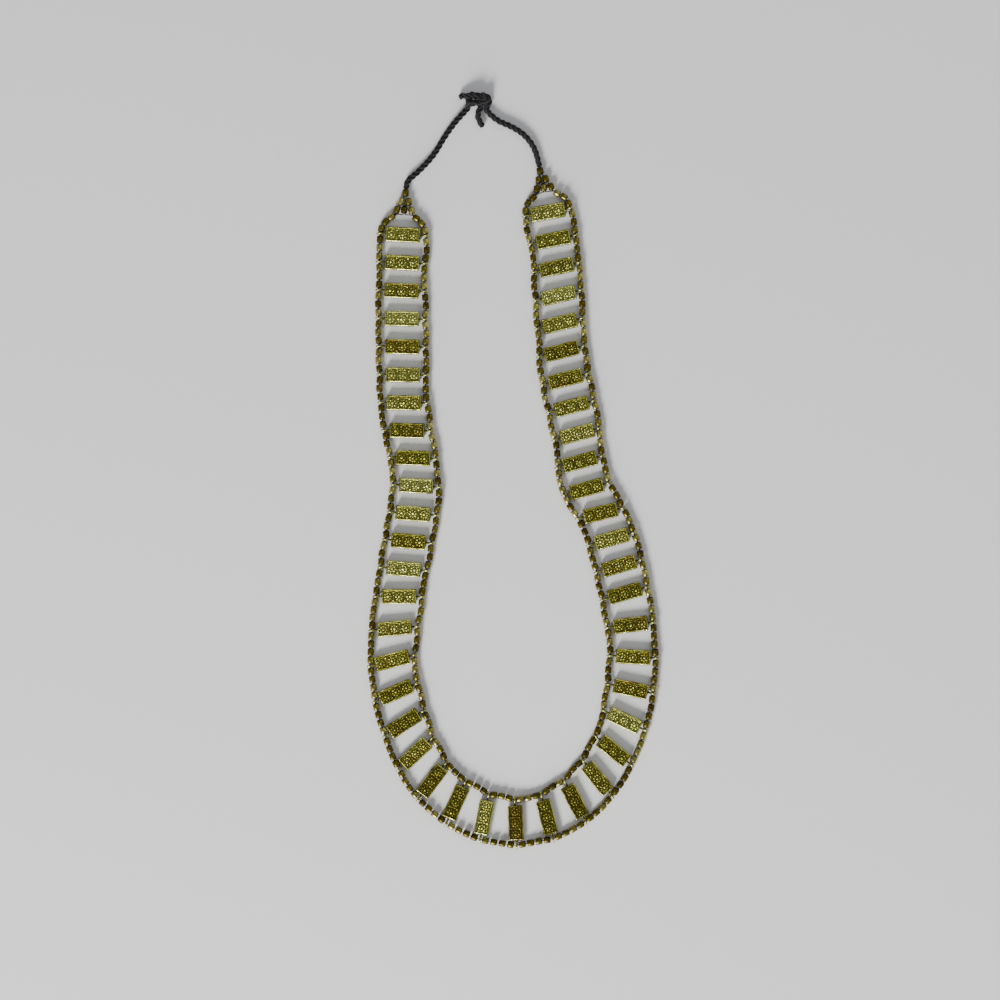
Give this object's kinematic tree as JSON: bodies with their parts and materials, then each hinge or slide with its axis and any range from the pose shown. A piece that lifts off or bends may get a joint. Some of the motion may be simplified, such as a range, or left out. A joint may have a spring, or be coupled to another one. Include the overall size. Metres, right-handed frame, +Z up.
{
  "type": "brass ladder necklace",
  "caption": "Necklace of stamped brass plates laid like rungs between two strings of small brass beads, closed by a knotted black cord.",
  "frame": {"origin": "middle of the beadwork's box on the surface that it lies on, without the cord", "axes": "+Y along the necklace towards the cord's knot, +Z up from the surface, +X to the right"},
  "size_m": [0.1172, 0.3034, 0.0046],
  "materials": {
    "brass_plate": "antiqued, polished on its high places",
    "brass_bead": "antiqued",
    "thread": "waxed",
    "cord": "twisted, matt"
  },
  "bodies": {
    "root": {"cord_knot": "cord", "cord_left": "cord", "cord_right": "cord", "inner_string": "brass_bead", "left_end_beads": "brass_bead", "left_tie_thread": "thread", "outer_beads": "brass_bead", "outer_thread": "thread", "right_end_beads": "brass_bead", "right_tie_thread": "thread", "rung_01": "brass_plate", "rung_02": "brass_plate", "rung_03": "brass_plate", "rung_04": "brass_plate", "rung_05": "brass_plate", "rung_06": "brass_plate", "rung_07": "brass_plate", "rung_08": "brass_plate", "rung_09": "brass_plate", "rung_10": "brass_plate", "rung_11": "brass_plate", "rung_12": "brass_plate", "rung_13": "brass_plate", "rung_14": "brass_plate", "rung_15": "brass_plate", "rung_16": "brass_plate", "rung_17": "brass_plate", "rung_18": "brass_plate", "rung_19": "brass_plate", "rung_20": "brass_plate", "rung_21": "brass_plate", "rung_22": "brass_plate", "rung_23": "brass_plate", "rung_24": "brass_plate", "rung_25": "brass_plate", "rung_26": "brass_plate", "rung_27": "brass_plate", "rung_28": "brass_plate", "rung_29": "brass_plate", "rung_30": "brass_plate", "rung_31": "brass_plate", "rung_32": "brass_plate", "rung_33": "brass_plate", "rung_34": "brass_plate", "rung_35": "brass_plate", "rung_36": "brass_plate", "rung_37": "brass_plate", "rung_38": "brass_plate", "rung_39": "brass_plate", "rung_40": "brass_plate", "rung_41": "brass_plate", "rung_42": "brass_plate", "rung_43": "brass_plate", "rung_44": "brass_plate", "rung_45": "brass_plate", "rung_46": "brass_plate"}
  },
  "joints": []
}
